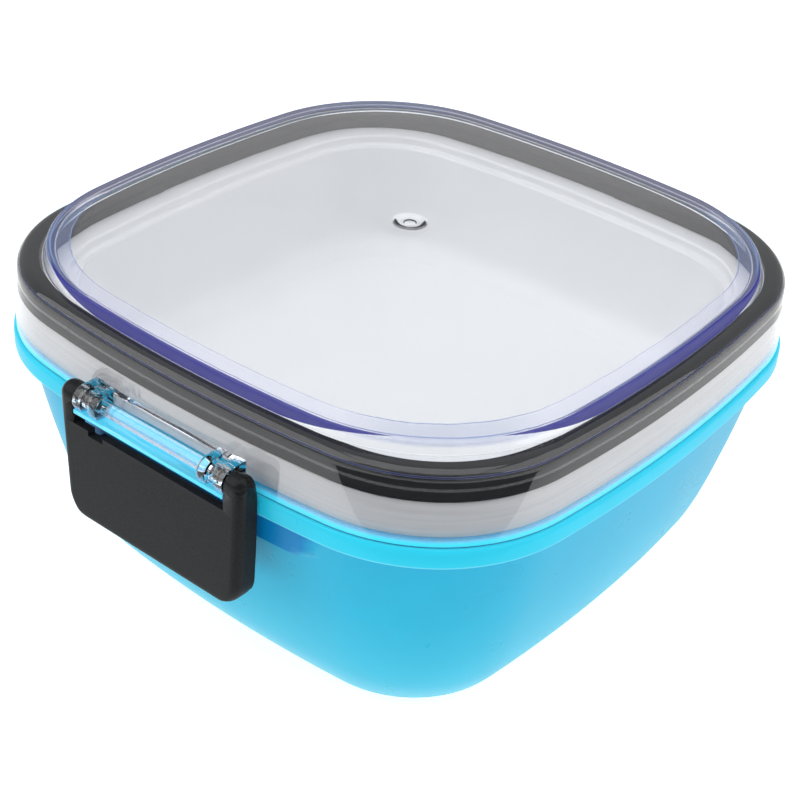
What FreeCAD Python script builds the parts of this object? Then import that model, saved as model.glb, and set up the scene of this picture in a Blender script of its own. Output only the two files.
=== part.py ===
# Snap lid food container: bowl, lift-in tray, clear lid, seal ring and two latches.
#
# Millimetres, +Z up. The origin is the middle of the underside of the bowl's base.
# The front latch is on the -Y side and the rear latch on the +Y side.
# Every outline seen from above is a rounded square of four shallow side arcs and
# four corner arcs. Outlines of one stack are offsets of the lid's skirt outline.
import FreeCAD, Part
import Sketcher
import math
import os

doc = FreeCAD.newDocument("FoodContainer")

# ---------------------------------------------------------------- driving sizes
SIZES = [
    ("skirt_half", 85.0), ("corner_radius", 42.0), ("side_radius", 391.5),
    ("foot_z", 66.0), ("skirt_draft", 1.2),
    # bowl
    ("base_half", 60.8), ("base_corner", 26.0),
    ("heel_half", 64.8), ("heel_corner", 28.0), ("heel_z", 3.2),
    ("haunch_half", 71.2), ("haunch_corner", 32.0), ("haunch_z", 14.0),
    ("waist_half", 77.4), ("waist_corner", 37.0), ("waist_z", 36.0),
    ("neck_half", 82.6), ("neck_corner", 41.0), ("rim_low_z", 60.6),
    ("bowl_wall", 1.8), ("floor_thick", 2.0),
    ("rim_out", 0.7), ("upstand_in", 5.0), ("upstand_wall", 1.6), ("upstand_top_z", 74.6),
    ("rim_round", 0.8), ("pad_in", 1.4), ("pad_half", 41.0), ("pad_root", 76.5),
    ("pad_low_z", 52.2), ("pad_corner", 6.0),
    # tray
    ("flange_in", 3.0), ("flange_top_z", 76.6), ("lip_in", 4.7), ("lip_low_z", 67.4),
    ("recess_in", 12.6), ("recess_z", 74.2), ("collar_in", 10.8), ("collar_low_z", 72.4),
    ("well_top_half", 70.4), ("well_top_corner", 29.0),
    ("well_mid_half", 66.0), ("well_mid_corner", 27.0), ("well_mid_z", 52.0),
    ("well_turn_half", 63.0), ("well_turn_corner", 25.5), ("well_turn_z", 46.4),
    ("well_floor_half", 58.0), ("well_floor_corner", 23.0), ("well_floor_z", 44.2),
    ("tray_wall", 1.6), ("flange_round", 0.7),
    # seal ring
    ("seal_out_in", 3.3), ("seal_in_in", 7.2), ("seal_round", 0.6),
    # lid
    ("lid_wall", 2.0), ("skirt_wall", 1.8), ("shoulder_low_z", 82.7), ("shoulder_top_z", 84.7),
    ("shoulder_round", 3.0),
    ("panel_base_half", 80.7), ("panel_top_half", 79.3), ("panel_corner", 45.7),
    ("panel_edge_z", 87.8), ("dome_half", 78.1), ("dome_top_z", 94.0),
    ("dimple_radius", 4.1), ("dimple_depth", 0.6), ("nub_radius", 1.1),
    # hinge on the lid
    ("axis_out", 88.1), ("axis_z", 69.6), ("knuckle_radius", 3.4), ("knuckle_end", 24.4),
    ("knuckle_start", 16.4), ("groove_start", 19.0), ("groove_end", 21.6),
    ("groove_radius", 2.6), ("rod_radius", 1.6), ("bore_radius", 1.55), ("bore_depth", 5.2),
    ("web_out", 85.7), ("web_top_z", 72.8), ("web_root", 83.4),
    ("shelf_low_z", 66.15), ("shelf_top_z", 67.4),
    # latch
    ("latch_half", 29.8), ("latch_face", 91.2), ("latch_back", 85.0), ("latch_low_z", 36.0),
    ("latch_corner", 6.5), ("plate_top_z", 63.5), ("plate_thick", 2.2), ("ear_start", 24.6),
    ("ear_radius", 3.1), ("return_thick", 2.0), ("return_back", 86.0), ("pin_radius", 1.5), ("pin_tip", 20.2),
    ("hook_half", 20.0), ("hook_tip", 85.9), ("hook_top_z", 60.2), ("hook_low_z", 57.6),
    ("notch_start", 14.5), ("notch_end", 19.5), ("notch_deep", 1.4), ("latch_round", 1.4),
]
sheet = doc.addObject("Spreadsheet::Sheet", "Dims")
for row, (name, value) in enumerate(SIZES, start=1):
    sheet.set("A%d" % row, name)
    sheet.set("B%d" % row, "=%s mm" % value)
    sheet.setAlias("B%d" % row, name)
doc.recompute()


def dim(name):
    """One size from the sheet, as an expression."""
    return "Dims." + name


def size(expression):
    """The number of millimetres that an expression over the sheet gives now."""
    result = sheet.evalExpression(expression)
    return float(getattr(result, "Value", result))


# ---------------------------------------------------------------- sketch helpers
PLANES = {"XY": "XY_Plane", "XZ": "XZ_Plane", "YZ": "YZ_Plane"}


def new_sketch(body, name, plane="XY", offset=None):
    """A sketch on one of the body's own origin planes, raised by an expression."""
    sketch = body.newObject("Sketcher::SketchObject", name)
    role = PLANES[plane]
    support = [f for f in body.Origin.OriginFeatures if f.Role == role][0]
    sketch.AttachmentSupport = (support, [""])
    sketch.MapMode = "FlatFace"
    if offset is not None:
        sketch.setExpression("AttachmentOffset.Base.z", offset)
    return sketch


def constrain(sketch, kind, *where, expression):
    index = sketch.addConstraint(Sketcher.Constraint(kind, *where, size(expression)))
    sketch.setExpression("Constraints[%d]" % index, expression)


def add_outline(sketch, half, corner, side):
    """Four side arcs and four corner arcs, tangent all round, centred on the origin."""
    a, rc, rs = size(half), size(corner), size(side)
    k = rs - a
    c = (-2 * k + math.sqrt(4 * k * k - 8 * (k * k - (rs - rc) ** 2))) / 4
    turn = math.atan2(c, c + k)
    first = sketch.GeometryCount
    up = FreeCAD.Vector(0, 0, 1)
    for quarter in range(4):
        q = quarter * math.pi / 2
        side_centre = FreeCAD.Vector(-k * math.cos(q), -k * math.sin(q), 0)
        corner_centre = FreeCAD.Vector(c * (math.cos(q) - math.sin(q)),
                                       c * (math.sin(q) + math.cos(q)), 0)
        sketch.addGeometry(Part.ArcOfCircle(
            Part.Circle(side_centre, up, rs), q - turn, q + turn), False)
        sketch.addGeometry(Part.ArcOfCircle(
            Part.Circle(corner_centre, up, rc), q + turn, q + math.pi / 2 - turn), False)
    rules = [Sketcher.Constraint("Tangent", first + i, 2, first + (i + 1) % 8, 1)
             for i in range(8)]
    for i in (2, 4, 6):
        rules.append(Sketcher.Constraint("Equal", first, first + i))
        rules.append(Sketcher.Constraint("Equal", first + 1, first + 1 + i))
    rules += [Sketcher.Constraint("PointOnObject", first + i, 3, -1 if i % 4 == 0 else -2)
              for i in (0, 2, 4, 6)]
    sketch.addConstraint(rules)
    constrain(sketch, "Radius", first, expression=side)
    constrain(sketch, "Radius", first + 1, expression=corner)
    to_centre = "(%s) - (%s)" % (side, half)
    constrain(sketch, "DistanceX", first, 3, -1, 1, expression=to_centre)
    constrain(sketch, "DistanceY", first + 2, 3, -1, 1, expression=to_centre)
    constrain(sketch, "DistanceX", -1, 1, first + 4, 3, expression=to_centre)
    constrain(sketch, "DistanceY", -1, 1, first + 6, 3, expression=to_centre)


def add_offset(sketch, inward):
    """The skirt outline moved inward by an expression (negative is outward)."""
    add_outline(sketch, *["%s - (%s)" % (dim(n), inward)
                          for n in ("skirt_half", "corner_radius", "side_radius")])


def add_polygon(sketch, points):
    """Straight edges through points whose two coordinates are expressions."""
    first = sketch.GeometryCount
    count = len(points)
    where = [FreeCAD.Vector(size(u), size(v), 0) for u, v in points]
    for i in range(count):
        sketch.addGeometry(Part.LineSegment(where[i], where[(i + 1) % count]), False)
    sketch.addConstraint([Sketcher.Constraint("Coincident", first + i, 2, first + (i + 1) % count, 1)
                          for i in range(count)])
    for i, (u, v) in enumerate(points):
        constrain(sketch, "DistanceX", -1, 1, first + i, 1, expression=u)
        constrain(sketch, "DistanceY", -1, 1, first + i, 1, expression=v)


def add_box(sketch, u0, v0, u1, v1):
    add_polygon(sketch, [(u0, v0), (u1, v0), (u1, v1), (u0, v1)])


def add_tab(sketch, half_width, low, top, radius):
    """A plate outline: square corners at the top, two rounded corners at the bottom."""
    w, z0, z1, r = size(half_width), size(low), size(top), size(radius)
    first = sketch.GeometryCount
    up = FreeCAD.Vector(0, 0, 1)
    corners = [FreeCAD.Vector(*p, 0) for p in
               ((w, z1), (-w, z1), (-w, z0 + r), (r - w, z0), (w - r, z0), (w, z0 + r))]
    for shape in (Part.LineSegment(corners[0], corners[1]),
                  Part.LineSegment(corners[1], corners[2]),
                  Part.ArcOfCircle(Part.Circle(FreeCAD.Vector(r - w, z0 + r, 0), up, r),
                                   math.pi, 1.5 * math.pi),
                  Part.LineSegment(corners[3], corners[4]),
                  Part.ArcOfCircle(Part.Circle(FreeCAD.Vector(w - r, z0 + r, 0), up, r),
                                   1.5 * math.pi, 2 * math.pi),
                  Part.LineSegment(corners[5], corners[0])):
        sketch.addGeometry(shape, False)
    joins = [("Coincident", 5, 2, 0, 1), ("Coincident", 0, 2, 1, 1), ("Tangent", 1, 2, 2, 1),
             ("Tangent", 2, 2, 3, 1), ("Tangent", 3, 2, 4, 1), ("Tangent", 4, 2, 5, 1)]
    rules = [Sketcher.Constraint(kind, first + i, u, first + j, v) for kind, i, u, j, v in joins]
    rules += [Sketcher.Constraint("Horizontal", first), Sketcher.Constraint("Vertical", first + 1),
              Sketcher.Constraint("Horizontal", first + 3), Sketcher.Constraint("Vertical", first + 5),
              Sketcher.Constraint("Equal", first + 2, first + 4)]
    sketch.addConstraint(rules)
    constrain(sketch, "Radius", first + 2, expression=radius)
    constrain(sketch, "DistanceX", -1, 1, first + 5, 1, expression=half_width)
    constrain(sketch, "DistanceX", -1, 1, first + 1, 1, expression="-(%s)" % half_width)
    constrain(sketch, "DistanceY", -1, 1, first, 1, expression=top)
    constrain(sketch, "DistanceY", -1, 1, first + 3, 1, expression=low)


def add_circle(sketch, u, v, radius):
    index = sketch.addGeometry(Part.Circle(
        FreeCAD.Vector(size(u), size(v), 0), FreeCAD.Vector(0, 0, 1), size(radius)), False)
    if size(u) == 0 and size(v) == 0:
        sketch.addConstraint(Sketcher.Constraint("Coincident", index, 3, -1, 1))
    else:
        constrain(sketch, "DistanceX", -1, 1, index, 3, expression=u)
        constrain(sketch, "DistanceY", -1, 1, index, 3, expression=v)
    constrain(sketch, "Radius", index, expression=radius)


# ---------------------------------------------------------------- feature helpers
def new_body(name):
    body = doc.addObject("PartDesign::Body", name)
    body.Label = name
    return body


def pad(body, name, sketch, length, reverse=False, cut=False):
    """Pad or pocket from a sketch; checked to add (or take away) material."""
    before = body.Shape.Volume if body.Tip and body.Shape and not body.Shape.isNull() else 0.0
    kind = "PartDesign::Pocket" if cut else "PartDesign::Pad"
    feature = body.newObject(kind, name)
    feature.Profile = sketch
    feature.setExpression("Length", length)
    feature.Reversed = reverse
    sketch.Visibility = False
    doc.recompute()
    after = feature.Shape.Volume
    if (after >= before) if cut else (after <= before):
        raise RuntimeError("%s %s changed the volume the wrong way" % (body.Name, name))
    return feature


def loft(body, name, sections, cut=False):
    """Smooth loft through (z, half, corner, side) outlines."""
    sketches = []
    for i, (z, half, corner, side) in enumerate(sections):
        sketch = new_sketch(body, "%s_section_%d" % (name, i + 1), "XY", z)
        add_outline(sketch, half, corner, side)
        sketch.Visibility = False
        sketches.append(sketch)
    doc.recompute()
    kind = "PartDesign::SubtractiveLoft" if cut else "PartDesign::AdditiveLoft"
    feature = body.newObject(kind, name)
    feature.Profile = sketches[0]
    feature.Sections = sketches[1:]
    feature.Ruled = len(sections) == 2
    doc.recompute()
    return feature


def fillet(body, name, base, radius, wanted):
    """Round every edge of the base feature for which wanted(edge) is true."""
    edges = ["Edge%d" % (i + 1) for i, edge in enumerate(base.Shape.Edges) if wanted(edge)]
    if not edges:
        raise RuntimeError("no edges for " + name)
    feature = body.newObject("PartDesign::Fillet", name)
    feature.Base = (base, edges)
    feature.setExpression("Radius", radius)
    doc.recompute()
    return feature


def level_edge(z, inward):
    """Edges lying flat at height z on the skirt outline moved inward by a distance."""
    height, step = size(z), size(inward)
    to_centre = size("skirt_half - side_radius")
    reach = size("side_radius") - size("corner_radius")
    centre = (to_centre + math.sqrt(2 * reach ** 2 - to_centre ** 2)) / 2
    diagonal = centre * math.sqrt(2) + size("corner_radius")

    def wanted(edge):
        box = edge.BoundBox
        if abs(box.ZMin - height) > 0.01 or abs(box.ZMax - height) > 0.01:
            return False
        middle = edge.valueAt((edge.FirstParameter + edge.LastParameter) / 2)
        if min(abs(middle.x), abs(middle.y)) < 15:
            found = size("skirt_half") - max(abs(middle.x), abs(middle.y))
        else:
            found = diagonal - math.hypot(middle.x, middle.y)
        return abs(found - step) < 0.2
    return wanted


def at_both_ends(body, name, originals):
    """Repeat features half a turn round the vertical axis."""
    pattern = body.newObject("PartDesign::PolarPattern", name)
    pattern.Originals = originals
    axis = [f for f in body.Origin.OriginFeatures if f.Role == "Z_Axis"][0]
    pattern.Axis = (axis, [""])
    pattern.Angle = 360
    pattern.Occurrences = 2
    body.Tip = pattern
    doc.recompute()
    return pattern


side = dim("side_radius")
foot = dim("foot_z")

# ---------------------------------------------------------------- bowl
bowl = new_body("bowl")
OUTER = [("0 mm", "base"), (dim("heel_z"), "heel"), (dim("haunch_z"), "haunch"),
         (dim("waist_z"), "waist"), (dim("rim_low_z"), "neck")]
loft(bowl, "bowl_outside",
     [(z, dim(n + "_half"), dim(n + "_corner"), side) for z, n in OUTER])

rim = new_sketch(bowl, "rim_outline", "XY", dim("rim_low_z"))
add_offset(rim, "-" + dim("rim_out"))
rim_pad = pad(bowl, "rim", rim, "%s - %s" % (foot, dim("rim_low_z")))
rim_edges = [level_edge(z, "-" + dim("rim_out")) for z in (foot, dim("rim_low_z"))]
fillet(bowl, "rim_round", rim_pad, dim("rim_round"), lambda e: any(w(e) for w in rim_edges))

upstand = new_sketch(bowl, "upstand_outline", "XY", foot)
add_offset(upstand, dim("upstand_in"))
pad(bowl, "upstand", upstand, "%s - %s" % (dim("upstand_top_z"), foot))

# Catch pads: shallow blocks on the wall under the rim, one behind each latch. Their
# faces follow the side arc, so the curved cut trims the flat pad.
catch = new_sketch(bowl, "catch_outline", "XZ", dim("pad_root"))
add_tab(catch, dim("pad_half"), dim("pad_low_z"), dim("rim_low_z"), dim("pad_corner"))
catch_pad = pad(bowl, "catch_pad", catch, "%s - %s" % (dim("skirt_half"), dim("pad_root")))
trim = new_sketch(bowl, "catch_trim_outline", "XY", dim("rim_low_z"))
half_span, reach = size("pad_half + 3 mm"), size("side_radius - pad_in")
centre_y = size("side_radius - skirt_half")
outer_y = -size("skirt_half + 3 mm")
lean = math.asin(half_span / reach)
arc_y = centre_y - reach * math.cos(lean)
ends = [FreeCAD.Vector(x, y, 0) for x, y in
        ((half_span, arc_y), (half_span, outer_y), (-half_span, outer_y), (-half_span, arc_y))]
trim.addGeometry(Part.ArcOfCircle(
    Part.Circle(FreeCAD.Vector(0, centre_y, 0), FreeCAD.Vector(0, 0, 1), reach),
    1.5 * math.pi - lean, 1.5 * math.pi + lean), False)
for start, end in zip(ends, ends[1:]):
    trim.addGeometry(Part.LineSegment(start, end), False)
trim.addConstraint([Sketcher.Constraint("Coincident", 0, 2, 1, 1),
                    Sketcher.Constraint("Coincident", 1, 2, 2, 1),
                    Sketcher.Constraint("Coincident", 2, 2, 3, 1),
                    Sketcher.Constraint("Coincident", 3, 2, 0, 1),
                    Sketcher.Constraint("PointOnObject", 0, 3, -2),
                    Sketcher.Constraint("Vertical", 1), Sketcher.Constraint("Horizontal", 2),
                    Sketcher.Constraint("Vertical", 3)])
constrain(trim, "Radius", 0, expression="Dims.side_radius - Dims.pad_in")
constrain(trim, "DistanceY", -1, 1, 0, 3, expression="Dims.side_radius - Dims.skirt_half")
constrain(trim, "DistanceX", -1, 1, 1, 1, expression="Dims.pad_half + 3 mm")
constrain(trim, "DistanceX", 3, 1, -1, 1, expression="Dims.pad_half + 3 mm")
constrain(trim, "DistanceY", 2, 1, -1, 1, expression="Dims.skirt_half + 3 mm")
catch_trim = pad(bowl, "catch_trim", trim, "Dims.rim_low_z - Dims.pad_low_z + 2 mm", cut=True)
at_both_ends(bowl, "catch_pads", [catch_pad, catch_trim])

# The inside keeps one wall thickness up to the neck, then runs straight up the upstand.
upstand_inside = "%s + %s" % (dim("upstand_in"), dim("upstand_wall"))
inner = [("%s + %s" % (z, dim("floor_thick")) if n == "base" else "%s + %s / 2"
          % (z, dim("bowl_wall")), dim(n + "_half") + " - " + dim("bowl_wall"),
          dim(n + "_corner") + " - " + dim("bowl_wall"), side) for z, n in OUTER[:-1]]
inner.append((dim("rim_low_z"), *["%s - (%s)" % (dim(n), upstand_inside)
                                  for n in ("skirt_half", "corner_radius", "side_radius")]))
loft(bowl, "bowl_inside", inner, cut=True)
mouth = new_sketch(bowl, "mouth_outline", "XY", dim("upstand_top_z"))
add_offset(mouth, upstand_inside)
pad(bowl, "mouth", mouth, "%s - %s" % (dim("upstand_top_z"), dim("rim_low_z")), cut=True)

# ---------------------------------------------------------------- tray
tray = new_body("tray")
flange = new_sketch(tray, "flange_outline", "XY", dim("upstand_top_z"))
add_offset(flange, dim("flange_in"))
pad(tray, "flange", flange, "%s - %s" % (dim("flange_top_z"), dim("upstand_top_z")))
lip = new_sketch(tray, "lip_outline", "XY", dim("lip_low_z"))
add_offset(lip, dim("flange_in"))
add_offset(lip, dim("lip_in"))
pad(tray, "lip", lip, "%s - %s" % (dim("upstand_top_z"), dim("lip_low_z")))
collar = new_sketch(tray, "collar_outline", "XY", dim("collar_low_z"))
add_offset(collar, dim("collar_in"))
pad(tray, "collar", collar, "%s - %s" % (dim("upstand_top_z"), dim("collar_low_z")))
WELL = [(dim("recess_z"), "well_top"), (dim("well_mid_z"), "well_mid"),
        (dim("well_turn_z"), "well_turn"), (dim("well_floor_z"), "well_floor")]
wall = dim("tray_wall")
loft(tray, "well_outside",
     [("%s - %s" % (z, wall) if n == "well_floor" else "%s - %s / 2" % (z, wall),
       "%s + %s" % (dim(n + "_half"), wall), "%s + %s" % (dim(n + "_corner"), wall), side)
      for z, n in WELL])
recess = new_sketch(tray, "recess_outline", "XY", dim("flange_top_z"))
add_offset(recess, dim("recess_in"))
pad(tray, "recess", recess, "%s - %s" % (dim("flange_top_z"), dim("recess_z")), cut=True)
loft(tray, "well_inside",
     [(z, dim(n + "_half"), dim(n + "_corner"), side) for z, n in WELL], cut=True)
rounded = [level_edge(dim("flange_top_z"), dim(n)) for n in ("flange_in", "recess_in")]
fillet(tray, "flange_round", tray.Tip, dim("flange_round"),
       lambda e: any(w(e) for w in rounded))

# ---------------------------------------------------------------- seal ring
gasket = new_body("gasket")
ring = new_sketch(gasket, "ring_outline", "XY", dim("flange_top_z"))
add_offset(ring, dim("seal_out_in"))
add_offset(ring, dim("seal_in_in"))
ring_pad = pad(gasket, "ring", ring, "%s - %s" % (dim("shoulder_low_z"), dim("flange_top_z")))
fillet(gasket, "ring_round", ring_pad, dim("seal_round"),
       lambda e: e.BoundBox.ZLength < 0.01)

# ---------------------------------------------------------------- lid
lid = new_body("lid")


def skirt_section(z, inward):
    """The skirt's outline moved inward by an expression."""
    sizes = ("skirt_half", "corner_radius", "side_radius")
    return (z, *["%s - (%s)" % (dim(n), inward) for n in sizes])


def shoulder_section(angle):
    """A section of the shoulder's quarter round, from 0 at the skirt to 90 on top."""
    down, inward = 1 - math.sin(math.radians(angle)), 1 - math.cos(math.radians(angle))
    rise = dim("shoulder_round")
    return skirt_section("%s - %s * %.4f" % (dim("shoulder_top_z"), rise, down),
                         "%s + %s * %.4f" % (dim("skirt_draft"), rise, inward))


loft(lid, "skirt", [skirt_section(foot, "0 mm"), shoulder_section(0)])
loft(lid, "shoulder", [shoulder_section(angle) for angle in (0, 30, 60, 90)])


def panel_section(z, half):
    """A section of the raised panel; smaller ones keep the shape of the edge."""
    share = "(%s) / %s" % (half, dim("panel_top_half"))
    return (z, half, "%s * %s" % (dim("panel_corner"), share),
            "%s * %s" % (dim("side_radius"), share))


DOME_STEPS = (1.0, 0.8, 0.58, 0.34, 0.11)


def dome_sections(drop):
    """Sections of a shallow parabolic dome, lowered by an expression."""
    rise = "(%s - %s)" % (dim("dome_top_z"), dim("panel_edge_z"))
    return [panel_section("%s - %s * %s - (%s)" % (dim("dome_top_z"), rise, round(t * t, 4), drop),
                          "%s * %s" % (dim("dome_half"), t)) for t in DOME_STEPS]


loft(lid, "panel_wall", [panel_section(dim("shoulder_low_z"), dim("panel_base_half")),
                         panel_section(dim("panel_edge_z"), dim("panel_top_half"))])
loft(lid, "panel_dome", dome_sections("0.2 mm"))
wall_in = dim("skirt_wall")
loft(lid, "cavity", [skirt_section(foot, wall_in),
                     skirt_section(dim("shoulder_low_z"), "%s + %s" % (wall_in, dim("skirt_draft")))],
     cut=True)
loft(lid, "panel_wall_inside",
     [panel_section(dim("shoulder_low_z"), "%s - %s" % (dim("panel_base_half"), dim("lid_wall"))),
      panel_section("%s - %s" % (dim("panel_edge_z"), dim("lid_wall")),
                    "%s - %s" % (dim("panel_top_half"), dim("lid_wall")))], cut=True)
loft(lid, "panel_dome_inside", dome_sections(dim("lid_wall") + " + 0.2 mm"), cut=True)
dimple = new_sketch(lid, "dimple_outline", "XY", dim("dome_top_z") + " + 0.2 mm")
add_circle(dimple, "0 mm", "0 mm", dim("dimple_radius"))
add_circle(dimple, "0 mm", "0 mm", dim("nub_radius"))
pad(lid, "dimple", dimple, dim("dimple_depth") + " + 0.4 mm", cut=True)

# Hinge on each side: a shelf and web on the skirt, a rod, and a grooved knuckle with a
# blind bore at each end.
knuckle_y, knuckle_z = "-" + dim("axis_out"), dim("axis_z")
hinge = []
bracket = new_sketch(lid, "bracket_profile", "YZ", "-" + dim("knuckle_end"))
add_polygon(bracket, [("-" + dim(u), dim(v)) for u, v in
                      (("web_root", "shelf_low_z"), ("latch_face", "shelf_low_z"),
                       ("latch_face", "shelf_top_z"), ("web_out", "shelf_top_z"),
                       ("web_out", "web_top_z"), ("web_root", "web_top_z"))])
hinge.append(pad(lid, "bracket", bracket, "2 * " + dim("knuckle_end")))
rod = new_sketch(lid, "rod_profile", "YZ", "-" + dim("knuckle_end"))
add_circle(rod, knuckle_y, knuckle_z, dim("rod_radius"))
hinge.append(pad(lid, "rod", rod, "2 * " + dim("knuckle_end")))
DISCS = [("disc_inner", "knuckle_start", "groove_start", "knuckle_radius"),
         ("disc_neck", "groove_start", "groove_end", "groove_radius"),
         ("disc_outer", "groove_end", "knuckle_end", "knuckle_radius")]
for label, x0, x1, radius in DISCS:
    for way, start in (("right", dim(x0)), ("left", "-" + dim(x1))):
        name = "%s_%s" % (label, way)
        length = "%s - %s" % (dim(x1), dim(x0))
        disc = new_sketch(lid, name + "_profile", "YZ", start)
        add_circle(disc, knuckle_y, knuckle_z, dim(radius))
        hinge.append(pad(lid, name, disc, length))
        bridge = new_sketch(lid, name + "_bridge_profile", "YZ", start)
        add_box(bridge, knuckle_y, dim("shelf_low_z"), "-" + dim("web_root"),
                "%s + %s" % (dim("axis_z"), dim(radius)))
        hinge.append(pad(lid, name + "_bridge", bridge, length))
for way, start, reverse in (("right", dim("knuckle_end"), False),
                            ("left", "-" + dim("knuckle_end"), True)):
    bore = new_sketch(lid, "bore_profile_" + way, "YZ", start)
    add_circle(bore, knuckle_y, knuckle_z, dim("bore_radius"))
    hinge.append(pad(lid, "bore_" + way, bore, dim("bore_depth"), reverse, cut=True))
at_both_ends(lid, "hinges", hinge)


# ---------------------------------------------------------------- latches
def make_latch(name):
    """A hollow-backed plate with an ear, a round ear top and a pin at each upper corner."""
    latch = new_body(name)
    plate = new_sketch(latch, name + "_outline", "XZ", dim("latch_back"))
    add_tab(plate, dim("latch_half"), dim("latch_low_z"), dim("axis_z"), dim("latch_corner"))
    pad(latch, name + "_plate", plate, "%s - %s" % (dim("latch_face"), dim("latch_back")))
    gap = new_sketch(latch, name + "_gap_outline", "XZ", dim("latch_face") + " + 1 mm")
    add_box(gap, "-" + dim("ear_start"), dim("plate_top_z"), dim("ear_start"),
            dim("axis_z") + " + 5 mm")
    pad(latch, name + "_gap", gap, "12 mm", cut=True)
    ear_width = "%s - %s" % (dim("latch_half"), dim("ear_start"))
    for way, x in (("right", dim("ear_start")), ("left", "-" + dim("latch_half"))):
        ear = new_sketch(latch, "%s_ear_%s_profile" % (name, way), "YZ", x)
        add_circle(ear, knuckle_y, knuckle_z, dim("ear_radius"))
        pad(latch, "%s_ear_%s" % (name, way), ear, ear_width)

    def on_outer_edge(edge):
        """The edges that run round the plate and over the ears, front and back."""
        middle = edge.valueAt((edge.FirstParameter + edge.LastParameter) / 2)
        at_end = abs(edge.BoundBox.XLength) < 0.01 and abs(middle.x) > size("latch_half") - 0.01
        across = edge.BoundBox.YLength > size("latch_face - latch_back") - 0.1
        if edge.BoundBox.ZMin > size("axis_z") - 0.01:
            return at_end
        below = middle.z < size("latch_low_z") + size("latch_corner")
        return (at_end or below) and not across

    fillet(latch, name + "_edge", latch.Tip, dim("latch_round"), on_outer_edge)
    back = new_sketch(latch, name + "_back_outline", "XZ", dim("latch_back") + " - 1 mm")
    inset = dim("return_thick")
    add_tab(back, "%s - %s" % (dim("latch_half"), inset), "%s + %s" % (dim("latch_low_z"), inset),
            dim("plate_top_z") + " + 0.5 mm", "%s - %s" % (dim("latch_corner"), inset))
    pad(latch, name + "_back", back, "%s - %s - %s + 1 mm"
        % (dim("latch_face"), dim("plate_thick"), dim("latch_back")), reverse=True, cut=True)
    relief = new_sketch(latch, name + "_relief_outline", "XZ", dim("latch_back") + " - 1 mm")
    reach = "%s - %s" % (dim("latch_half"), inset)
    add_box(relief, "-(%s)" % reach, dim("latch_low_z") + " - 1 mm", reach,
            "%s + %s" % (dim("latch_low_z"), dim("latch_corner")))
    pad(latch, name + "_relief", relief, "%s - %s + 1 mm" % (dim("return_back"), dim("latch_back")),
        reverse=True, cut=True)
    for way, x in (("right", dim("pin_tip")), ("left", "-" + dim("ear_start") + " - 0.5 mm")):
        pin = new_sketch(latch, "%s_pin_%s_profile" % (name, way), "YZ", x)
        add_circle(pin, knuckle_y, knuckle_z, dim("pin_radius"))
        pad(latch, "%s_pin_%s" % (name, way), pin,
            "%s - %s + 0.5 mm" % (dim("ear_start"), dim("pin_tip")))
    hook = new_sketch(latch, name + "_hook_profile", "YZ", "-" + dim("hook_half"))
    add_box(hook, "-" + dim("hook_tip"), dim("hook_low_z"),
            "-(%s - %s + 0.5 mm)" % (dim("latch_face"), dim("plate_thick")), dim("hook_top_z"))
    pad(latch, name + "_hook", hook, "2 * " + dim("hook_half"))
    notch = new_sketch(latch, name + "_notch_outline", "XZ", dim("latch_face") + " + 1 mm")
    add_box(notch, "-" + dim("notch_end"), "%s - %s" % (dim("plate_top_z"), dim("notch_deep")),
            "-" + dim("notch_start"), dim("plate_top_z") + " + 1 mm")
    pad(latch, name + "_notch", notch, "8 mm", cut=True)
    return latch


latch_front = make_latch("latch_front")
latch_rear = make_latch("latch_rear")
latch_rear.Placement = FreeCAD.Placement(
    FreeCAD.Vector(0, 0, 0), FreeCAD.Rotation(FreeCAD.Vector(0, 0, 1), 180))
doc.recompute()

# ---------------------------------------------------------------- checks and export
for item in doc.Objects:
    if "Invalid" in item.State or "Error" in item.State:
        raise RuntimeError("%s: %s" % (item.Name, item.State))
os.makedirs("parts", exist_ok=True)
for body in (bowl, tray, gasket, lid, latch_front, latch_rear):
    shape = body.Shape
    if shape.isNull() or not shape.isValid() or len(shape.Solids) != 1:
        raise RuntimeError("%s is not one valid solid (%d)" % (body.Label, len(shape.Solids)))
    print(body.Label, "volume %.0f mm3" % shape.Volume, shape.BoundBox)
    shape.exportStep("parts/%s.step" % body.Label)
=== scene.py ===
"""Snap lid food container: the looks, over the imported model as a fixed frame."""
import math

import bmesh
import bpy
from mathutils import Matrix, Vector


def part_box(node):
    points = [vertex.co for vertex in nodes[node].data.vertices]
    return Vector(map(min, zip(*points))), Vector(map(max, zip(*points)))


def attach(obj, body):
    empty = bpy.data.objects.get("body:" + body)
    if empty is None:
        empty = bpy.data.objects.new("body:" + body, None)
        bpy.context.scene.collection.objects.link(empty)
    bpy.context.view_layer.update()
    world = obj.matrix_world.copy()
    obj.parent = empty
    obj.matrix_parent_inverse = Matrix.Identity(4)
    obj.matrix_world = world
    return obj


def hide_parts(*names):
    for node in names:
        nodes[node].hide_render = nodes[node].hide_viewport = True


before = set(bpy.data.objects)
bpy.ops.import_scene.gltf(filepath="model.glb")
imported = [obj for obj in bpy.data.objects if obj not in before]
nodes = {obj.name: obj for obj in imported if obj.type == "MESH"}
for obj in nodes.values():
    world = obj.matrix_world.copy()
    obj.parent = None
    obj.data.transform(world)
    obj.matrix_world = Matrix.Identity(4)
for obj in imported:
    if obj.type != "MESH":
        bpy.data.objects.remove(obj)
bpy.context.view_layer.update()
MM = 0.001

# ---------------------------------------------------------------- sizes, in millimetres
# the lid's outline at its skirt's foot: half width, corner radius, radius of the bowed sides
SKIRT_HALF, CORNER, SIDE = 85.0, 42.0, 391.5
FOOT_Z, DOME_Z = (c.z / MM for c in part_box("lid"))
SEAL_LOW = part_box("gasket")[0].z / MM
TRAY_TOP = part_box("tray")[1].z / MM
UPSTAND_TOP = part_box("bowl")[1].z / MM
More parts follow.
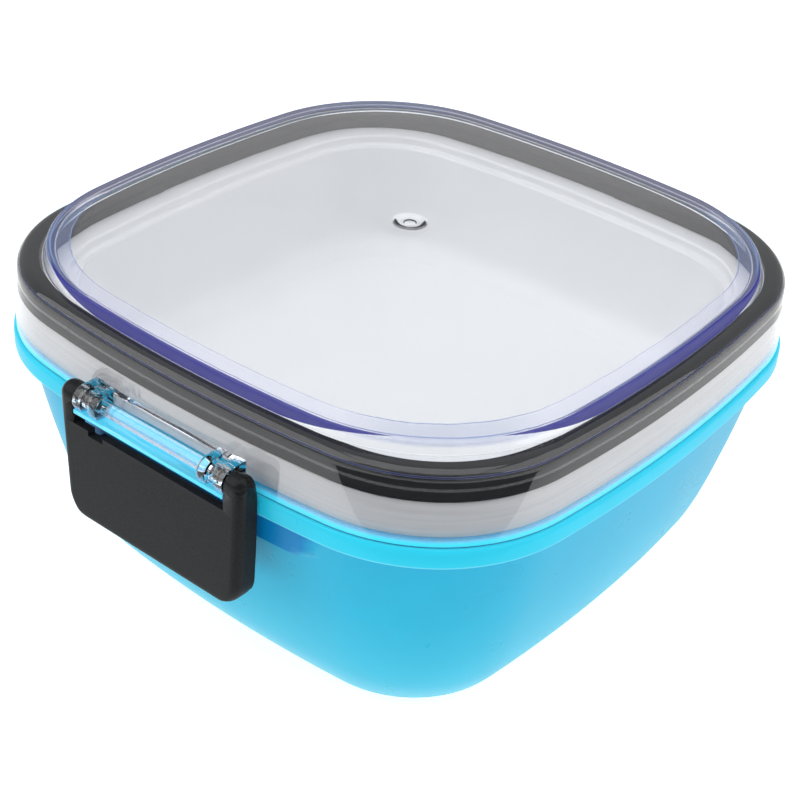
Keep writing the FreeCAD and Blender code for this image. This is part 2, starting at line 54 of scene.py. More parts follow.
# the lid: skirt and shoulder, then the raised panel and the dome in it
SKIRT_WALL, SKIRT_DRAFT, SHOULDER_TOP, SHOULDER_ROUND = 1.8, 1.2, 84.7, 3.0
PANEL_HALF, PANEL_CORNER, PANEL_BASE, PANEL_Z = 79.0, 45.7, 79.7, 87.8
DOME_HALF, DOME_RISE, LID_WALL = 77.8, 6.2, 2.0
SHOULDER_UNDER = SHOULDER_TOP - LID_WALL
# the hinge: the pins' axis, half the hinge's length, and its root inside the skirt
AXIS_OUT, AXIS_Z, HINGE_HALF, HINGE_ROOT = 88.1, 69.6, 24.4, 83.5
PLATE_OUT, PLATE_TOP, SHELF_LOW, SHELF_TOP = 85.7, 72.8, 66.15, 67.4
ROD, ROD_HALF, KNUCKLE, NECK, BORE, BORE_START = 1.6, 17.5, 3.39, 2.6, 1.55, 19.2
# the latches, which taper to a rounded lower end; their softened outside is a little
# smaller than the CAD latch's at the face, foot and sides, and clear of its back
LATCH_FACE = -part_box("latch_front")[0].y / MM
LATCH_LOW, LATCH_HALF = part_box("latch_front")[0].z / MM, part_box("latch_front")[1].x / MM
LATCH_TAPER, LATCH_CORNER, LATCH_SOFT = 1.4, 7.0, 2.4
FACE_INSET, FOOT_INSET, SIDE_INSET, BACK_SPARE = 0.03, 0.02, 0.05, 0.15
EAR_ROUND = LATCH_FACE - FACE_INSET - AXIS_OUT
# (height, half width, corner radius) up the outside of the bowl's wall
BOWL_WALL = ((0.0, 60.8, 26.0), (3.2, 64.8, 28.0), (14.0, 71.2, 32.0),
             (36.0, 77.4, 37.0), (60.6, 82.6, 41.0))
BOWL_SKIN, BOWL_FLOOR, RECESS = 1.8, 2.0, 0.9
RIM_LOW, RIM_HALF, RIM_NECK = BOWL_WALL[-1][0], 85.65, 82.5
UPSTAND_IN, UPSTAND_OUT = 78.4, 80.0
PAD_HALF, PAD_LOW, PAD_INSET, PAD_CORNER, PAD_BLEND = 41.0, 52.2, 1.4, 6.0, 1.8
# (height, half width, corner radius) up the inside of the tray's well
TRAY_WELL = ((44.2, 58.0, 23.0), (46.4, 63.0, 25.5), (52.0, 66.0, 27.0), (74.2, 70.4, 29.0))
TRAY_FLOOR, TRAY_SKIN = TRAY_WELL[0][0], 1.6
# the step at the well's mouth, the underside of the flat top, and the lip round it
STEP_HALF, STEP_Z, TOP_UNDER = 72.4, TRAY_WELL[-1][0], 74.6
LIP_IN, LIP_OUT, LIP_LOW = 80.3, 82.0, 67.4
# a flat floor's rings have the full side radius at this half width
FLAT_HALF = 62.0
# points on a corner arc
CORNER_STEPS = 26

# ---------------------------------------------------------------- camera
AZIMUTH, ELEVATION, ROLL = (math.radians(a) for a in (37.8, 32.78, 3.86))
DISTANCE, AIM_RIGHT, AIM_Z, LENS, SENSOR = 0.4465, 0.0005, 0.03915, 74.25, 36.0


def place_camera():
    back = Vector((math.sin(AZIMUTH) * math.cos(ELEVATION),
                   -math.cos(AZIMUTH) * math.cos(ELEVATION), math.sin(ELEVATION)))
    right = Vector((math.cos(AZIMUTH), math.sin(AZIMUTH), 0))
    up = back.cross(right)
    tilted = right * math.cos(ROLL) + up * math.sin(ROLL)
    tilted_up = up * math.cos(ROLL) - right * math.sin(ROLL)
    data = bpy.data.cameras.new("camera")
    data.lens, data.sensor_width = LENS, SENSOR
    camera = bpy.data.objects.new("camera", data)
    bpy.context.scene.collection.objects.link(camera)
    turn = Matrix((tilted, tilted_up, back)).transposed().to_4x4()
    at = right * AIM_RIGHT + Vector((0, 0, AIM_Z)) + back * DISTANCE
    camera.matrix_world = Matrix.Translation(at) @ turn
    bpy.context.scene.camera = camera


place_camera()


# ---------------------------------------------------------------- shapes
def spread(low, high, count):
    """count values from low up to, but not including, high."""
    return [low + (high - low) * i / count for i in range(count)]


def shares(count):
    """0 to 1 in count equal steps, both ends included."""
    return [i / count for i in range(count + 1)]


def side_steps(fine):
    """Places along a side arc from -1 to 1; fine ones crowd round the catch pads' ends."""
    if not fine:
        return spread(-1, 1, 16)
    start, end = 0.66, 0.84
    return (spread(-1, -end, 3) + spread(-end, -start, 20) + spread(-start, start, 22)
            + spread(start, end, 20) + spread(end, 1, 3))


def centres(half, corner, side):
    """How far back a side arc's centre is, a corner arc's centre, and a side's half turn."""
    k = side - half
    c = (-2 * k + math.sqrt(4 * k * k - 8 * (k * k - (side - corner) ** 2))) / 4
    return k, c, math.atan2(c, c + k)


def outline(half, corner, side, fine=False):
    """A rounded square of four shallow side arcs and four corner arcs."""
    k, c, turn = centres(half, corner, side)
    points = []
    for quarter in range(4):
        q = quarter * math.pi / 2
        for t in side_steps(fine):
            a = q + turn * t
            points.append((-k * math.cos(q) + side * math.cos(a),
                           -k * math.sin(q) + side * math.sin(a)))
        for a in spread(q + turn, q + math.pi / 2 - turn, CORNER_STEPS):
            points.append((c * (math.cos(q) - math.sin(q)) + corner * math.cos(a),
                           c * (math.sin(q) + math.cos(q)) + corner * math.sin(a)))
    return points


def offset(half):
    """The skirt's outline moved in or out to another half width."""
    inward = SKIRT_HALF - half
    return half, CORNER - inward, SIDE - inward


def scaled(half):
    """The raised panel's outline, shrunk in proportion."""
    share = half / PANEL_HALF
    return half, PANEL_CORNER * share, SIDE * share


def floor_ring(half, z, corner_share):
    """A ring of a flat floor: (outline, height)."""
    return (half, half * corner_share, SIDE * half / FLAT_HALF), z


def panel_reach(x, y):
    """The half width of the raised panel's outline when it is scaled to pass through a point."""
    k, c, turn = centres(PANEL_HALF, PANEL_CORNER, SIDE)
    length = max(math.hypot(x, y), 1e-6)
    u, v = max(abs(x), abs(y)) / length, min(abs(x), abs(y)) / length
    edge = math.sqrt(SIDE ** 2 - (v * k) ** 2) - u * k
    if math.atan2(v * edge, u * edge + k) > turn:
        dot = (u + v) * c
        edge = dot + math.sqrt(dot * dot - 2 * c * c + PANEL_CORNER ** 2)
    return PANEL_HALF * length / edge


def rounded(points, steps=5):
    """A polyline of (across, up, radius) with its corners turned into arcs."""
    path = []
    for i, (x, z, radius) in enumerate(points):
        if radius == 0 or i in (0, len(points) - 1):
            path.append((x, z))
            continue
        here = Vector((x, z))
        back = (Vector(points[i - 1][:2]) - here).normalized()
        ahead = (Vector(points[i + 1][:2]) - here).normalized()
        half_angle = back.angle(ahead) / 2
        reach = radius / math.tan(half_angle)
        centre = here + (back + ahead).normalized() * radius / math.sin(half_angle)
        start, end = here + back * reach - centre, here + ahead * reach - centre
        sweep = start.angle_signed(end)
        for s in range(steps + 1):
            arm = start.copy()
            arm.rotate(Matrix.Rotation(-sweep * s / steps, 2))
            path.append(tuple(centre + arm))
    return path


def new_object(name, bm):
    """A linked object that takes over a bmesh."""
    mesh = bpy.data.meshes.new(name)
    bm.to_mesh(mesh)
    bm.free()
    made = bpy.data.objects.new(name, mesh)
    bpy.context.scene.collection.objects.link(made)
    return made


def finish_mesh(name, bm, body, material, replaces=(), sharp=32):
    """A visible piece of one material, smooth but for its sharp edges, riding on its body."""
    bmesh.ops.recalc_face_normals(bm, faces=bm.faces)
    piece = new_object(name, bm)
    piece.data.shade_smooth()
    piece.data.set_sharp_from_angle(angle=math.radians(sharp))
    piece.data.materials.append(material)
    if replaces:
        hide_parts(*replaces)
    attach(piece, body)
    return piece


def paint(piece, name, value_at):
    """Leaves a number on every vertex, worked out from its place in millimetres."""
    values = piece.data.attributes.new(name, "FLOAT", "POINT").data
    for vertex, value in zip(piece.data.vertices, values):
        value.value = value_at(*(c / MM for c in vertex.co))


def join_loops(bm, low, high):
    """Quads between two loops of as many vertices."""
    for i in range(len(low)):
        j = (i + 1) % len(low)
        bm.faces.new((low[i], low[j], high[j], high[i]))


def add_rings(bm, rings, closed, fine=False, move=None):
    """Quads between outlines stacked as (outline, height); ends closed or joined up."""
    loops = []
    for shape, z in rings:
        points = outline(*shape, fine)
        if move:
            points = [move(x, y, z) for x, y in points]
        loops.append([bm.verts.new((x * MM, y * MM, z * MM)) for x, y in points])
    for low, high in zip(loops, loops[1:]):
        join_loops(bm, low, high)
    if closed:
        join_loops(bm, loops[-1], loops[0])
        return
    for loop, (shape, z) in ((loops[0], rings[0]), (loops[-1], rings[-1])):
        middle = bm.verts.new((0, 0, z * MM))
        for i in range(len(loop)):
            bm.faces.new((loop[i], loop[(i + 1) % len(loop)], middle))


def between(z, table):
    """(half width, corner) at a height, on a smooth curve through a table."""
    zs = [row[0] for row in table]
    i = max(0, min(len(zs) - 2, sum(z > v for v in zs[1:-1])))
    width = zs[i + 1] - zs[i]
    t = (z - zs[i]) / width

    def slope(n, column):
        low, high = max(n - 1, 0), min(n + 1, len(zs) - 1)
        return (table[high][column] - table[low][column]) / (zs[high] - zs[low])

    result = []
    for column in (1, 2):
        p0, p1 = table[i][column], table[i + 1][column]
        m0, m1 = slope(i, column) * width, slope(i + 1, column) * width
        result.append(p0 * (2 * t ** 3 - 3 * t * t + 1) + m0 * (t ** 3 - 2 * t * t + t)
                      + p1 * (3 * t * t - 2 * t ** 3) + m1 * (t ** 3 - t * t))
    return result


# ---------------------------------------------------------------- shader nodes
def new_material(name):
    material = bpy.data.materials.new(name)
    material.use_nodes = True
    tree = material.node_tree
    tree.nodes.clear()
    return material, tree


def node(tree, kind, links=(), **values):
    """A shader node with its inputs set; links are (input, output socket) pairs."""
    made = tree.nodes.new(kind)
    for key, value in values.items():
        if key.startswith("set_"):
            setattr(made, key[4:], value)
        else:
            made.inputs[key.replace("_", " ")].default_value = value
    for target, source in links:
        tree.links.new(source, made.inputs[target])
    return made


def ramp(tree, source, stops):
    made = node(tree, "ShaderNodeValToRGB", [("Fac", source)])
    elements = made.color_ramp.elements
    while len(elements) < len(stops):
        elements.new(0.5)
    for element, (place, colour) in zip(elements, stops):
        element.position, element.color = place, (*colour, 1)
    return made.outputs["Color"]


def object_place(tree):
    return node(tree, "ShaderNodeTexCoord").outputs["Object"]


def height_of(tree, place):
    """The height in metres."""
    return node(tree, "ShaderNodeSeparateXYZ", [("Vector", place)]).outputs["Z"]


def remap(tree, source, **limits):
    """A value stretched between limits such as From_Min and To_Max."""
    return node(tree, "ShaderNodeMapRange", [("Value", source)], **limits).outputs["Result"]


def maths(tree, operation, a, b):
    """One Math node; a and b are sockets or numbers."""
    made = node(tree, "ShaderNodeMath", set_operation=operation)
    for socket, value in zip(made.inputs, (a, b)):
        if isinstance(value, (int, float)):
            socket.default_value = value
        else:
            tree.links.new(value, socket)
    return made.outputs[0]


def times(tree, *factors):
    """The product of sockets and numbers."""
    result = factors[0]
    for factor in factors[1:]:
        result = maths(tree, "MULTIPLY", result, factor)
    return result


def fade(tree, value, start, end):
    """0 to 1 as a value goes from start to end; start and end are sockets or numbers."""
    made = node(tree, "ShaderNodeMapRange", [("Value", value)], set_interpolation_type="SMOOTHSTEP")
    for name, limit in (("From Min", start), ("From Max", end)):
        if isinstance(limit, (int, float)):
            made.inputs[name].default_value = limit
        else:
            tree.links.new(limit, made.inputs[name])
    return made.outputs["Result"]


def read(tree, name):
    """The number that paint left on the vertices."""
    return node(tree, "ShaderNodeAttribute", set_attribute_name=name).outputs["Fac"]


def noise(tree, place, scale, detail=2.0):
    return node(tree, "ShaderNodeTexNoise", [("Vector", place)], Scale=scale,
                Detail=detail).outputs["Fac"]


def bump(tree, source, strength, distance):
    return node(tree, "ShaderNodeBump", [("Height", source)], Strength=strength,
                Distance=distance).outputs["Normal"]


def mix_colour(tree, share, first, second):
    """first where the share is 0 and second where it is 1; second is a socket or a colour."""
    made = node(tree, "ShaderNodeMix", [("Factor", share)], set_data_type="RGBA")
    by_name = {socket.identifier: socket for socket in made.inputs}
    tree.links.new(first, by_name["A_Color"])
    if isinstance(second, tuple):
        by_name["B_Color"].default_value = (*second, 1)
    else:
        tree.links.new(second, by_name["B_Color"])
    return next(out for out in made.outputs if out.identifier == "Result_Color")


def mix_shaders(tree, share, first, second):
    """first where the share is 0 and second where it is 1; the share is a socket or a number."""
    made = node(tree, "ShaderNodeMixShader")
    if isinstance(share, float):
        made.inputs["Fac"].default_value = share
    else:
        tree.links.new(share, made.inputs["Fac"])
    tree.links.new(first.outputs[0], made.inputs[1])
    tree.links.new(second.outputs[0], made.inputs[2])
    return made


def streaks_along(tree, place, across, up):
    """Noise drawn out level, so that it runs round a ring."""
    stretched = node(tree, "ShaderNodeMapping", [("Vector", place)], Scale=(across, across, up))
    return noise(tree, stretched.outputs["Vector"], 1.0, 3.0)


def show(tree, shader, *volume):
    """The material's output, with a volume's link where it has one."""
    node(tree, "ShaderNodeOutputMaterial", [("Surface", shader.outputs[0]), *volume])


# ---------------------------------------------------------------- materials
def blue_plastic():
    """Translucent satin polypropylene: paler towards the base as painted light from the floor, a
    painted highlight along the rim's foot, a faint painted glow, and painted shade on the catch
    pads.
    """
    material, tree = new_material("bowl_blue")
    place = object_place(tree)
    top = 75.0
    up = remap(tree, height_of(tree, place), From_Min=0.0, From_Max=top * MM)
    rim = RIM_LOW / top
    # painted light: paler towards the base, lit from the floor; a painted highlight along the rim's
    # foot; the rim above it is a brighter blue than the wall
    by_height = ramp(tree, up, ((0.0, (0.22, 0.80, 0.90)), (0.16, (0.06, 0.68, 0.86)),
                                (0.5, (0.012, 0.58, 0.80)), (rim - 0.002, (0.010, 0.56, 0.80)),
                                (rim, (0.35, 0.92, 1.0)), (rim + 0.005, (0.25, 0.88, 1.0)),
                                (rim + 0.010, (0.03, 0.74, 0.93)), (1.0, (0.03, 0.74, 0.93))))
    cloud = noise(tree, place, 60.0, 3.0)
    tinted = node(tree, "ShaderNodeHueSaturation",
                  [("Color", by_height), ("Value", remap(tree, cloud, To_Min=0.94, To_Max=1.04))])
    # painted shade: the catch pads are darker, as less light comes through them
    colour = mix_colour(tree, read(tree, "painted_pad_shade"), tinted.outputs["Color"], (0.003, 0.30, 0.66))
    # painted glow: a faint emission in the wall's colour stands for light scattered inside the
    # plastic
    shell = node(tree, "ShaderNodeBsdfPrincipled",
                 [("Base Color", colour), ("Emission Color", colour),
                  ("Roughness", remap(tree, cloud, To_Min=0.24, To_Max=0.34)),
                  ("Normal", bump(tree, noise(tree, place, 70.0, 1.0), 0.03, 0.001))],
                 IOR=1.49, Emission_Strength=0.08, Specular_IOR_Level=0.35)
    glow = node(tree, "ShaderNodeBsdfTranslucent", [("Color", colour)])
    show(tree, mix_shaders(tree, 0.38, shell, glow))
    return material


def white_plastic():
    """White polypropylene, an even satin; the outer side of its lip is greyer, painted shade, in
    level streaks.
    """
    material, tree = new_material("tray_white")
    place = object_place(tree)
    cloud = noise(tree, place, 45.0, 3.0)
    white = ramp(tree, cloud, ((0.0, (0.85, 0.86, 0.855)), (1.0, (0.89, 0.895, 0.89))))
    # painted shade: the lip's outer side is greyer, in level streaks
    lip_shade = ramp(tree, streaks_along(tree, place, 25, 1100),
                   ((0.3, (0.60, 0.60, 0.595)), (0.7, (0.70, 0.70, 0.69))))
    colour = mix_colour(tree, read(tree, "lip"), white, lip_shade)
    shell = node(tree, "ShaderNodeBsdfPrincipled",
                 [("Base Color", colour), ("Roughness", remap(tree, cloud, To_Min=0.28, To_Max=0.4)),
                  ("Normal", bump(tree, noise(tree, place, 2200.0), 0.04, 0.0002))], IOR=1.49)
    glow = node(tree, "ShaderNodeBsdfTranslucent", [("Color", colour)])
    show(tree, mix_shaders(tree, 0.15, shell, glow))
    return material


def silicone():
    """Dark silicone with slow mould streaks along the ring."""
    material, tree = new_material("seal_dark")
    place = object_place(tree)
    streaks = streaks_along(tree, place, 30, 900)
    colour = ramp(tree, streaks, ((0.3, (0.008, 0.009, 0.011)), (0.7, (0.018, 0.019, 0.021))))
    shell = node(tree, "ShaderNodeBsdfPrincipled",
                 [("Base Color", colour),
                  ("Roughness", remap(tree, streaks, To_Min=0.45, To_Max=0.62)),
                  ("Normal", bump(tree, noise(tree, place, 1500.0), 0.08, 0.0002))],
                 IOR=1.45, Specular_IOR_Level=0.2)
    show(tree, shell)
    return material


def rim_band(tree, place, reach):
    """How strong the painted lavender is round the panel's rim, between two fine painted violet
    lines; they stand for light bent through the clear edge.
    """
    across = maths(tree, "ADD", reach, times(tree, noise(tree, place, 160.0, 4.0), 0.5))
    share = remap(tree, across, From_Min=PANEL_HALF - 5, From_Max=PANEL_HALF)
    return ramp(tree, share, [(at, (grey, grey, grey)) for at, grey in (
        (0.0, 0.0), (0.03, 0.5), (0.08, 0.14), (0.82, 0.17), (0.87, 0.6), (0.92, 0.2), (1.0, 0.2))])


def wall_crescent(tree, z, reach, crown):
    """A painted indigo crescent on the panel's wall, deepest at the middle of each side; it stands
    for light reflected inside the clear wall.
    """
    depth = times(tree, fade(tree, crown, -0.05, 0.6), 3.1)
    low = maths(tree, "SUBTRACT", PANEL_Z + 0.05, depth)
    return times(tree, fade(tree, z, low, maths(tree, "ADD", low, 0.15)),
                 fade(tree, reach, PANEL_HALF - 0.7, PANEL_HALF - 0.3),
                 fade(tree, reach, PANEL_BASE + 0.6, PANEL_BASE), fade(tree, crown, 0.0, 0.04))


def dark_lines(tree, z):
    """Painted dark lines, shade where the clear plastic's edges bend the view: one where the
    shoulder turns down and one along the skirt's foot.
    """
    turn_z = SHOULDER_TOP - 1.65
    shoulder = maths(tree, "SUBTRACT", fade(tree, z, turn_z, turn_z + 0.15),
                     fade(tree, z, turn_z + 0.3, turn_z + 0.45))
    return maths(tree, "ADD", shoulder, fade(tree, z, FOOT_Z + 0.55, FOOT_Z + 0.3))


def painted_edge_light(tree, place):
    """Painted light at the clear moulding's edges, standing for light bent and reflected inside it:
    (colour, amount, glow).
    """
    z = maths(tree, "DIVIDE", height_of(tree, place), MM)
    reach, crown = read(tree, "reach"), read(tree, "crown")
    on_rim = fade(tree, z, PANEL_Z - 1.8, PANEL_Z - 1.0)
    corner = fade(tree, crown, 0.30, 0.0)
    band = times(tree, rim_band(tree, place, reach), on_rim,
                 maths(tree, "ADD", 1.0, times(tree, corner, 0.8)))
    crescent = wall_crescent(tree, z, reach, crown)
    on_skirt = fade(tree, reach, PANEL_BASE + 1.0, PANEL_BASE + 1.3)
    line = times(tree, dark_lines(tree, z), on_skirt)
    # a painted glow stands for the bowl's bright blue rim seen through the foot of the skirt
    glow = times(tree, fade(tree, z, FOOT_Z + 3.4, FOOT_Z + 0.8), on_skirt)
    front = maths(tree, "SUBTRACT", 1.0,
                  node(tree, "ShaderNodeNewGeometry").outputs["Backfacing"])
    strongest = maths(tree, "MAXIMUM", crescent, times(tree, line, 0.85))
    amount = maths(tree, "MAXIMUM", band, times(tree, front, strongest, 0.93))
    amount = maths(tree, "MAXIMUM", amount, times(tree, glow, front, 0.62))
    # painted light: lavender to deep violet round the rim; blue-grey at its corners and the indigo
    # crescent stand for light bent in the clear wall, cyan for the bowl's lit rim seen through the
    # skirt's foot, and the dark lines for shade
    colour = ramp(tree, band, ((0.25, (0.50, 0.53, 0.90)), (0.5, (0.07, 0.08, 0.36))))
    for where, painted_light in ((times(tree, corner, on_rim), (0.20, 0.27, 0.52)),
                         (crescent, (0.014, 0.015, 0.22)), (glow, (0.05, 0.75, 1.0)),
                         (line, (0.010, 0.020, 0.07))):
        colour = mix_colour(tree, where, colour, painted_light)
    return colour, amount, glow


def clear_plastic():
    """Clear styrene with painted light and shade at its edges: violet, indigo, blue-grey, dark and
    cyan marks standing for light bent inside it; lamps shine through it.
    """
    material, tree = new_material("lid_clear")
    place = object_place(tree)
    ripple = bump(tree, noise(tree, place, 35.0, 1.0), 0.06, 0.001)
    glass = node(tree, "ShaderNodeBsdfPrincipled", [("Normal", ripple)], IOR=1.57, Roughness=0.0,
                 Base_Color=(0.985, 0.988, 0.995, 1), Transmission_Weight=1.0)
    colour, amount, glow = painted_edge_light(tree, place)
    # an opaque layer of painted light and shade laid over the glass, with a painted glow where the
    # bowl's rim shows through
    painted_light = node(tree, "ShaderNodeBsdfPrincipled",
                 [("Base Color", colour), ("Emission Color", colour),
                  ("Emission Strength", times(tree, glow, 0.35))],
                 Roughness=0.4, Specular_IOR_Level=0.15)
    lamp = node(tree, "ShaderNodeBsdfTransparent", Color=(0.96, 0.965, 0.98, 1))
    path = node(tree, "ShaderNodeLightPath")
    mix = mix_shaders(tree, path.outputs["Is Shadow Ray"],
                      mix_shaders(tree, amount, glass, painted_light), lamp)
    tint = node(tree, "ShaderNodeVolumeAbsorption", Density=9.0, Color=(0.25, 0.30, 0.85, 1))
    show(tree, mix, ("Volume", tint.outputs[0]))
    return material


def black_plastic():
    """Fine matt black, with polished upper corners where the ears turn over."""
    material, tree = new_material("latch_black")
    place = object_place(tree)
    up = remap(tree, height_of(tree, place), From_Min=0.062, From_Max=0.070)
    grain = noise(tree, place, 1900.0, 3.0)
    speck = ramp(tree, grain, ((0.35, (0.008, 0.0088, 0.0098)), (0.65, (0.013, 0.0140, 0.0150))))
    shell = node(tree, "ShaderNodeBsdfPrincipled",
                 [("Base Color", speck), ("Roughness", remap(tree, up, To_Min=0.50, To_Max=0.22)),
                  ("Normal", bump(tree, grain, 0.12, 0.0002))], IOR=1.5, Specular_IOR_Level=0.12)
    show(tree, shell)
    return material


BLUE, WHITE, DARK = blue_plastic(), white_plastic(), silicone()
CLEAR, BLACK = clear_plastic(), black_plastic()


# ---------------------------------------------------------------- bowl
def on_pad(x, z):
    """How far into a catch pad's outline a point of the wall lies, 0 outside to 1 inside."""
    if z > RIM_LOW + 0.01:
        return 0.0
    dx, dz = PAD_HALF - abs(x), z - PAD_LOW
    inside = min(dx, dz)
    if dx < PAD_CORNER and dz < PAD_CORNER:
        inside = PAD_CORNER - math.hypot(PAD_CORNER - dx, PAD_CORNER - dz)
    return max(0.0, min(1.0, inside / PAD_BLEND + 0.5))


def bulge(x, y, z):
    """Moves a point of the bowl's wall, inside or outside, out to a catch pad's face."""
    share = on_pad(x, z)
    if share == 0:
        return x, y
    reach = SIDE - PAD_INSET
    proud = math.sqrt(reach * reach - x * x) - (SIDE - SKIRT_HALF)
    smooth = share * share * (3 - 2 * share)
    return x, math.copysign(abs(y) + (max(proud, abs(y)) - abs(y)) * smooth, y)


def bowl():
    corner_share, inner_top, crowded = 0.42, RIM_LOW - 3, 49.0
    # up the inside from the middle of the floor
    rings = [floor_ring(half, BOWL_FLOOR, corner_share) for half in (12, 35, 52)]
    for t in shares(16):
        z = inner_top * t ** 1.6
        half, corner = between(z, BOWL_WALL)
        shape = half - BOWL_SKIN, corner - BOWL_SKIN, SIDE - BOWL_SKIN
        rings.append((shape, z + BOWL_FLOOR - 1.1 * t))
    # over the upstand that the lid's skirt hangs round, and round the rim
    for half, z in rounded(((UPSTAND_IN, RIM_LOW + 0.4, 0), (UPSTAND_IN, UPSTAND_TOP, 0.5),
                            (UPSTAND_OUT, UPSTAND_TOP, 0.5), (UPSTAND_OUT, FOOT_Z, 0.6),
                            (RIM_HALF, FOOT_Z, 1.3), (RIM_HALF, RIM_LOW, 0.9),
                            (RIM_NECK, RIM_LOW, 0.5), (RIM_NECK - 0.3, RIM_LOW - 2, 0))):
        rings.append((offset(half), z))
    # down the outside: even steps past the catch pads, then crowding towards the base
    heights = [RIM_LOW - 2 - 0.5 * i for i in range(17)]
    heights += [crowded * t ** 1.7 for t in reversed(shares(20))]
    for z in heights:
        half, corner = between(z, BOWL_WALL)
        rings.append(((half, corner, SIDE), z))
    # a shallow recess leaves a foot ring under the base
    base = ((60.0, 0.0), (57.0, 0.0), (56.0, 0.5), (53.0, RECESS), (30.0, RECESS), (10.0, RECESS))
    rings += [floor_ring(half, z, corner_share) for half, z in base]
    bm = bmesh.new()
    add_rings(bm, rings, closed=False, fine=True, move=bulge)
    piece = finish_mesh("bowl_shell", bm, "bowl", BLUE, ("bowl",))
    # the catch pads' share, which the material paints as shade
    paint(piece, "painted_pad_shade", lambda x, y, z: on_pad(x, z))


bowl()


# ---------------------------------------------------------------- tray
def outside_of_lip(x, y, z):
    return 1.0 if panel_reach(x, y) > 80.5 and z < TRAY_TOP - 0.2 else 0.0


def tray():
    corner_share, inner_rise, outer_rise = 0.40, 29.4, 26.8
    rings = [floor_ring(half, TRAY_FLOOR, corner_share) for half in (10, 32, 50)]
    for t in shares(14):
        z = TRAY_FLOOR + inner_rise * t ** 1.8
        half, corner = between(z, TRAY_WELL)
        rings.append(((half, corner, SIDE), z))
    # over the step at the well's mouth, out across the flat top and round the lip
    for half, z in rounded(((70.4, STEP_Z - 0.8, 0), (70.9, STEP_Z, 0.4), (STEP_HALF, STEP_Z, 0.6),
                            (STEP_HALF, TRAY_TOP, 0.7), (LIP_OUT, TRAY_TOP, 0.7),
                            (LIP_OUT, LIP_LOW, 0.4), (LIP_IN, LIP_LOW, 0.4),
                            (LIP_IN, TOP_UNDER, 0.3), (STEP_HALF + 1.8, TOP_UNDER, 0.3),
                            (STEP_HALF + 1.8, STEP_Z - 1.8, 0.5), (71.9, STEP_Z - 2.0, 0))):
        rings.append((offset(half), z))
    for t in reversed(shares(12)):
        z = TRAY_FLOOR + outer_rise * t ** 1.8
        half, corner = between(z, TRAY_WELL)
        rings.append(((half + TRAY_SKIN, corner + TRAY_SKIN, SIDE), z - TRAY_SKIN + 0.9 * t))
    rings += [floor_ring(half, TRAY_FLOOR - TRAY_SKIN, corner_share) for half in (50, 30, 10)]
    bm = bmesh.new()
    add_rings(bm, rings, closed=False)
    piece = finish_mesh("tray_shell", bm, "tray", WHITE, ("tray",))
    # the outer side of the lip, which the material paints as shade
    paint(piece, "lip", outside_of_lip)


tray()


# ---------------------------------------------------------------- seal ring
def seal_out(z):
    """Just into the skirt's drafted inner face, so that the seal shows clearly through it."""
    return (SKIRT_HALF - SKIRT_WALL + 0.08
            - SKIRT_DRAFT * (z - FOOT_Z) / (SHOULDER_UNDER - FOOT_Z))


def seal_ring():
    """A band with a shallow groove round its outer and its inner face."""
    low, top, inner = SEAL_LOW, SHOULDER_UNDER + 0.04, DOME_HALF
    mid, groove = (low + top) / 2, seal_out((low + top) / 2) - 0.4
    profile = rounded(((79.5, low, 0), (seal_out(low), low, 0.5),
                       (seal_out(mid - 0.4), mid - 0.4, 0.15), (groove, mid - 0.25, 0.1),
                       (groove, mid + 0.25, 0.1), (seal_out(mid + 0.4), mid + 0.4, 0.15),
                       (seal_out(top), top, 0.3), (inner, top, 0.6), (inner, mid + 0.7, 0.2),
                       (inner + 0.6, mid + 0.35, 0.2), (inner + 0.6, mid - 0.35, 0.2),
                       (inner, mid - 0.7, 0.2), (inner, low, 0.6), (79.0, low, 0)), steps=4)
    bm = bmesh.new()
    add_rings(bm, [(offset(half), z) for half, z in profile], closed=True)
    finish_mesh("seal_ring", bm, "lid", DARK, ("gasket",), sharp=50)


seal_ring()


# ---------------------------------------------------------------- lid with its hinges
def add_bar(bm, profile, x0, x1):
    """A closed (y, z) profile drawn out along X."""
    ends = [[bm.verts.new((x * MM, y * MM, z * MM)) for y, z in profile] for x in (x0, x1)]
    join_loops(bm, *ends)
    bm.faces.new(ends[0])
    bm.faces.new(ends[1])


def ring_of(radius, count=48):
    """A circle round the hinge's axis."""
    return [(-AXIS_OUT + radius * math.cos(a), AXIS_Z + radius * math.sin(a))
            for a in spread(0, 2 * math.pi, count)]


def knuckle_profile(radius, count=40):
    """A round front, squared off behind where it meets the skirt."""
    arc = [(-AXIS_OUT + radius * math.cos(a), AXIS_Z + radius * math.sin(a))
           for a in spread(math.pi / 2, 3 * math.pi / 2, count)]
    return arc + [(-AXIS_OUT, AXIS_Z - radius), (-HINGE_ROOT, AXIS_Z - radius),
                  (-HINGE_ROOT, AXIS_Z + radius)]


def solid(name, bm, bevel=0.0):
    """A temporary closed object, its edges softened by a bevel in millimetres."""
    bmesh.ops.recalc_face_normals(bm, faces=bm.faces)
    made = new_object(name, bm)
    if bevel:
        soft = made.modifiers.new("soft", "BEVEL")
        soft.width, soft.segments, soft.limit_method = bevel * MM, 2, "ANGLE"
        soft.angle_limit = math.radians(40)
        apply_modifiers(made)
    return made


def apply_modifiers(piece):
    bpy.context.view_layer.update()
    done = bpy.data.meshes.new_from_object(
        piece.evaluated_get(bpy.context.evaluated_depsgraph_get()))
    old = piece.data
    piece.modifiers.clear()
    piece.data = done
    bpy.data.meshes.remove(old)


def combine(piece, tool, how):
    """Adds, cuts or intersects a piece with a tool, which goes."""
    made = piece.modifiers.new(how, "BOOLEAN")
    made.operation, made.solver, made.object = how, "EXACT", tool
    apply_modifiers(piece)
    bpy.data.objects.remove(tool)


def take_mesh(made):
    """A temporary object's mesh as a bmesh; the object goes."""
    bm = bmesh.new()
    bm.from_mesh(made.data)
    bpy.data.objects.remove(made)
    return bm


def bar(profile, x0, x1, bevel=0.0):
    bm = bmesh.new()
    add_bar(bm, profile, *sorted((x0, x1)))
    return solid("bar", bm, bevel)


